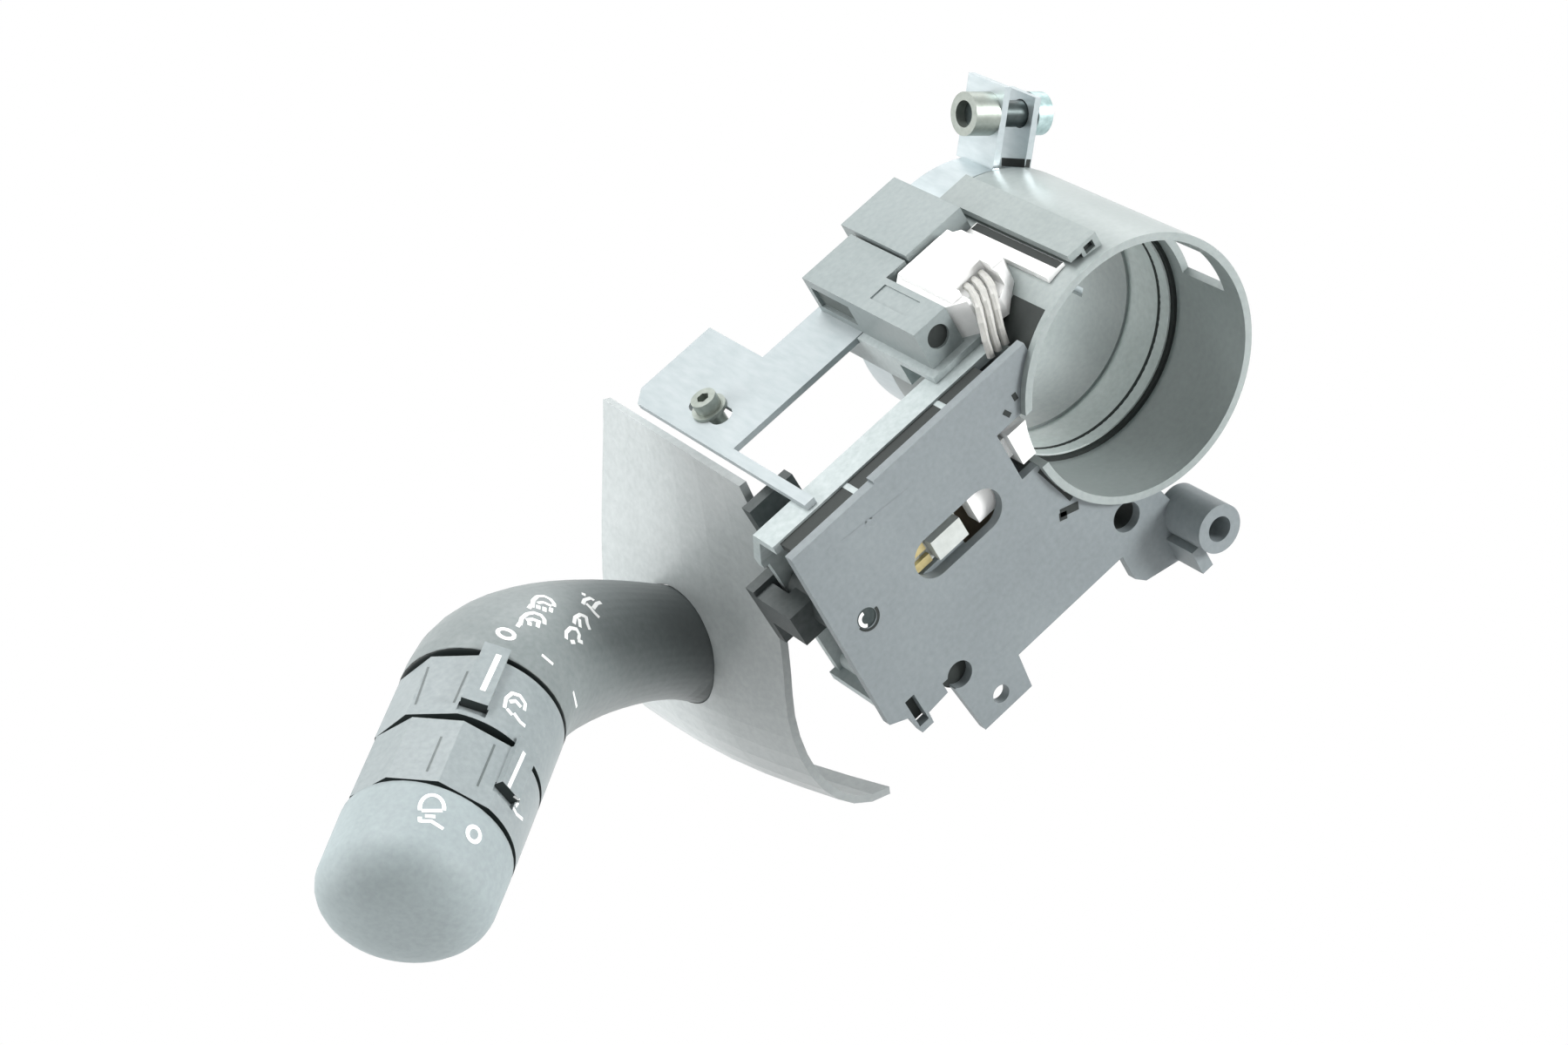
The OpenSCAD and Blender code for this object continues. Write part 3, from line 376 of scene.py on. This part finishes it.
strokes("sign_off", "lever_elbow", "lever", [oval(581, 728, 10, 5, 18)], SIGN)
strokes("sign_side_lamp", "lever_elbow", "lever", lower([
    [(592, 706), (594, 695), (600, 688), (608, 686), (616, 690), (620, 697), (620, 705)],
    [(599, 698), (607, 697), (616, 702)], [(592, 703), (589, 709)],
    [(603, 701), (603, 707)], [(613, 703), (612, 710)]]), SIGN)
strokes("sign_head_lamp", "lever_elbow", "lever", lower([
    [(606, 677), (607, 666), (612, 659), (620, 659), (627, 664), (631, 671), (631, 676)],
    [(612, 670), (619, 669), (628, 675)], [(605, 673), (602, 679)], [(613, 674), (613, 680)],
    [(620, 677), (620, 684)], [(628, 678), (627, 685)]]), SIGN)
strokes("sign_fog_rear", "lever_elbow", "lever", lower([
    [(665, 654), (665, 658)], [(664, 672), (666, 665), (673, 662), (677, 666)],
    [(668, 671), (673, 678), (678, 687), (683, 694)], [(676, 679), (680, 671), (685, 669)]]), SIGN)
strokes("sign_fog_upper", "lever_elbow", "lever", lower([
    [(654, 704), (655, 694), (661, 689), (668, 693), (669, 703), (672, 714)], [(660, 696), (661, 710)]]), SIGN)
strokes("sign_fog_lower", "lever_elbow", "lever", lower([
    [(645, 729), (645, 718), (650, 711), (657, 713), (660, 722), (659, 731)],
    [(650, 734), (655, 734)], [(658, 731), (664, 735)]]), SIGN)
strokes("sign_bar", "lever_elbow", "lever", [[(622, 752), (635, 763)]], BAR)
strokes("sign_bar_low", "lever_elbow", "lever", [[(658, 794), (662, 812)]], BAR)
strokes("sign_ring_lamp", "light_ring", "light_ring", [
    [(579, 813), (581, 802), (588, 796), (597, 799), (603, 808), (602, 816)], [(585, 806), (592, 805), (598, 812)],
    [(582, 814), (588, 821)], [(590, 819), (597, 829), (603, 834)]], RING_SIGN)
strokes("sign_pointer", "light_ring", "light_ring", [[(573, 752), (554, 793)]], BOLD)
strokes("sign_pointer_fog", "fog_ring", "fog_ring", [[(602, 864), (584, 904)]], SIGN)
strokes("sign_ring_fog", "fog_ring", "fog_ring", [
    [(590, 914), (597, 919), (592, 926)], [(589, 927), (593, 935), (600, 941)]], BAR)
strokes("sign_cap_lamp", "end_cap", "lever", [
    oval(496, 928, 14, 15, 0, 170, 370), [(484, 931), (508, 931)], [(482, 938), (482, 943), (495, 943), (509, 952)],
    [(488, 937), (500, 938)]], RING_SIGN)
strokes("sign_cap_off", "end_cap", "lever", [oval(544, 958, 7, 9, -20)], SIGN)

# Painted shade: near-black pieces where the part has only shade, in the hub's mouth, under the rail, in gaps, on
# the collar and behind openings, in millimetres

# Painted shade: a near-black ring in the hub's mouth where the groove's shade falls
lathe("mouth_groove_shade", [(18.45, 24.5), (18.45, 23.3), (22.6, 22.7), (22.6, 22.82), (19.36, 22.84), (19.3, 24.5)],
      (0, 0, 0), "black", 96)
box("rail_shadow", (1.54, 1.4, 24.6), (1.58, 39.8, 26.45))
# Painted shade: a near-black block in the notch at the rail's front end
box("rail_hole_shade", (1.9, 2.2, 25.2), (4.8, 5.1, 27.3))
box("bar_shadow", (-3.1, 3.2, 26.15), (-1.45, 28.8, 26.24))
# Painted shade: a near-black strip in the gap between the plate and the housing
box("plate_gap_shade", (-71.5, 2.02, 18.8), (-24.5, 5.98, 20.2))
# Painted shade: near-black backs behind a slit and a notch in the plate
box("slit_back_shade", (-69.6, 1.98, -26.9), (-66.6, 2.6, -19.2))
lathe("notch_back_shade", [(1.98, 0.02), (2.6, 0.02), (2.6, 3.4), (1.98, 3.4)], (-58.3, 0, -24.6), "black")
# Painted shade: a near-black sleeve behind the plate's side hole
lathe("side_hole_shade", [(1.98, 3.02), (7.4, 3.02), (7.4, 3.7), (1.98, 3.7)], (-15.5, 0, -24.5), "black", 48)
# Painted shade: a near-black disc in the key hole
lathe("key_hole_shade", [(11.6, 0.02), (11.8, 0.02), (11.8, 2.29), (11.6, 2.29)], (-25.5, 0, 26.6), "black")
lathe("collar_shade", [(0.1, 25.49), (9.4, 25.49), (9.4, 25.56), (0.1, 25.56)], (0, 0, 0), "black", 24,
      -132, -113, (1, 0, 0))
# Painted shade: a thin dark sheet at the back of the shroud's recess
box("shroud_recess_shade", (-28.78, 33.6, 23.9), (-28.72, 45.0, 28.1), "recess")

# Marks, catches and fine lines, in photograph pixels: the black and dark strokes are painted shade in openings,
# grooves and at a strap's foot, the white one a painted glint

HAIR = 0.00025
GROOVE = 0.0004

# Painted shade: a black arc round the swing pin on the plate
strokes("pin_ring_shade", "front_plate", BODY, [oval(996, 709, 12, 15, 20, -70, 110)], 0.0006, "black")
# Painted highlight: a white glint on the swing pin's face
strokes("pin_glint", "swing_pin", BODY, [oval(994, 711, 6.5, 8, 20, 50, 220)], 0.0007, "white")
# Painted shadow at the foot of the clamp's right ear
strokes("strap_foot_shadow", "clamp_band", BODY, [[(1150, 186), (1184, 188)]], 0.0016, "black")
# Painted shade: black strokes in the plate's small eyelets, catch and slit
strokes("plate_eyelet_shade", "front_plate", BODY, [
    [(1163, 452), (1167, 459)], [(1152, 473), (1160, 477)], [(1166, 482), (1171, 488)]], 0.001, "black")
strokes("plate_catch_shade", "front_plate", BODY, [
    [(1217, 590), (1238, 580)], [(1220, 588), (1221, 597)]], 0.0017, "black")
strokes("plate_slit_shade", "front_plate", BODY, [[(1193, 540), (1212, 556), (1230, 573)]], 0.001, "black")
strokes("plate_marks", "front_plate", BODY, [
    oval(956, 633, 5, 5), oval(1000, 600, 6, 5), [(1128, 722), (1141, 712)],
    [(1148, 750), (1160, 738)], [(966, 622), (1044, 560)]], HAIR, "mark")
# Painted shade: dark lines where the rings' grooves are
strokes("knob_groove_shade", "light_ring", "light_ring", [
    [(492, 766), (477, 809)], [(537, 771), (521, 807)]], GROOVE, "line_dark")
strokes("knob_groove_shade_low", "fog_ring", "fog_ring", [
    [(507, 846), (490, 886)], [(568, 855), (548, 903)]], GROOVE, "line_dark")


# Pale floor a little below the part, white to the camera and in reflections

FLOOR_HALF = 6.0
FLOOR_Z = -0.075


def seen_or_reflected(tree, clamp=False):
    """One for the camera's rays and for glossy rays, zero for other rays."""
    path = tree.nodes.new("ShaderNodeLightPath")
    both = tree.nodes.new("ShaderNodeMath")
    both.operation = "ADD"
    both.use_clamp = clamp
    tree.links.new(path.outputs["Is Camera Ray"], both.inputs[0])
    tree.links.new(path.outputs["Is Glossy Ray"], both.inputs[1])
    return both.outputs[0]


def add_floor():
    mesh = bpy.data.meshes.new("floor")
    bm = bmesh.new()
    corners = ((-1, -1), (1, -1), (1, 1), (-1, 1))
    bm.faces.new([bm.verts.new((x * FLOOR_HALF, y * FLOOR_HALF, FLOOR_Z)) for x, y in corners])
    bm.to_mesh(mesh)
    bm.free()
    obj = bpy.data.objects.new("floor", mesh)
    scene.collection.objects.link(obj)
    mat = bpy.data.materials.new("floor")
    mat.use_nodes = True
    tree = mat.node_tree
    bsdf = tree.nodes["Principled BSDF"]
    bsdf.inputs["Roughness"].default_value = 0.9
    noise = tree.nodes.new("ShaderNodeTexNoise")
    noise.inputs["Scale"].default_value = 3
    ramp = tree.nodes.new("ShaderNodeValToRGB")
    ramp.color_ramp.elements[0].color = (0.93, 0.93, 0.93, 1)
    ramp.color_ramp.elements[1].color = (0.96, 0.96, 0.96, 1)
    tree.links.new(noise.outputs["Fac"], ramp.inputs["Fac"])
    tree.links.new(ramp.outputs["Color"], bsdf.inputs["Base Color"])
    emit = tree.nodes.new("ShaderNodeEmission")
    emit.inputs["Strength"].default_value = 1.0
    emit.inputs["Color"].default_value = WHITE
    mix = tree.nodes.new("ShaderNodeMixShader")
    tree.links.new(seen_or_reflected(tree, clamp=True), mix.inputs["Fac"])
    tree.links.new(bsdf.outputs[0], mix.inputs[1])
    tree.links.new(emit.outputs[0], mix.inputs[2])
    tree.links.new(mix.outputs[0], tree.nodes["Material Output"].inputs["Surface"])
    obj.data.materials.append(mat)


add_floor()

# Studio surround: white to the camera and in reflections; its light is strongest from above and behind the part
# and weakest from behind the camera

SURROUND_UP = (-0.35, 0.55, 0.75)
SURROUND_LOW = 0.07
SURROUND_HIGH = 0.86

world = bpy.data.worlds.new("studio")
world.use_nodes = True
tree = world.node_tree
back = tree.nodes["Background"]
back.inputs["Color"].default_value = WHITE
coord = tree.nodes.new("ShaderNodeTexCoord")
toward = tree.nodes.new("ShaderNodeVectorMath")
toward.operation = "DOT_PRODUCT"
toward.inputs[1].default_value = SURROUND_UP
tree.links.new(coord.outputs["Generated"], toward.inputs[0])
fade = tree.nodes.new("ShaderNodeMapRange")
fade.inputs["From Min"].default_value = -0.6
fade.inputs["From Max"].default_value = 0.9
fade.inputs["To Min"].default_value = SURROUND_LOW
fade.inputs["To Max"].default_value = SURROUND_HIGH
tree.links.new(toward.outputs["Value"], fade.inputs["Value"])
strength = tree.nodes.new("ShaderNodeMath")
strength.operation = "MAXIMUM"
tree.links.new(fade.outputs["Result"], strength.inputs[0])
tree.links.new(seen_or_reflected(tree), strength.inputs[1])
tree.links.new(strength.outputs[0], back.inputs["Strength"])
scene.world = world

# Lamps: name, place, what it looks at, size, watts

LAMPS = (
    ("side", (-0.75, 0.4, 0.4), (-0.06, 0.02, 0), (0.4, 0.6), 3.8),
    ("top", (0.1, 0.35, 0.85), (0, 0.03, 0), (0.5, 0.4), 8.2),
    ("right", (0.55, -0.6, 0.03), (0, 0.02, 0), (0.3, 0.3), 8.4),
    ("right_back", (0.7, 0.5, 0.25), (0, 0.02, 0), (0.4, 0.4), 1.2),
)
for name, at, to, size, power in LAMPS:
    data = bpy.data.lights.new(name, "AREA")
    data.shape = "RECTANGLE"
    data.size, data.size_y = size
    data.energy = power
    obj = bpy.data.objects.new(name, data)
    scene.collection.objects.link(obj)
    obj.location = at
    obj.rotation_euler = (Vector(to) - Vector(at)).to_track_quat("-Z", "Y").to_euler()
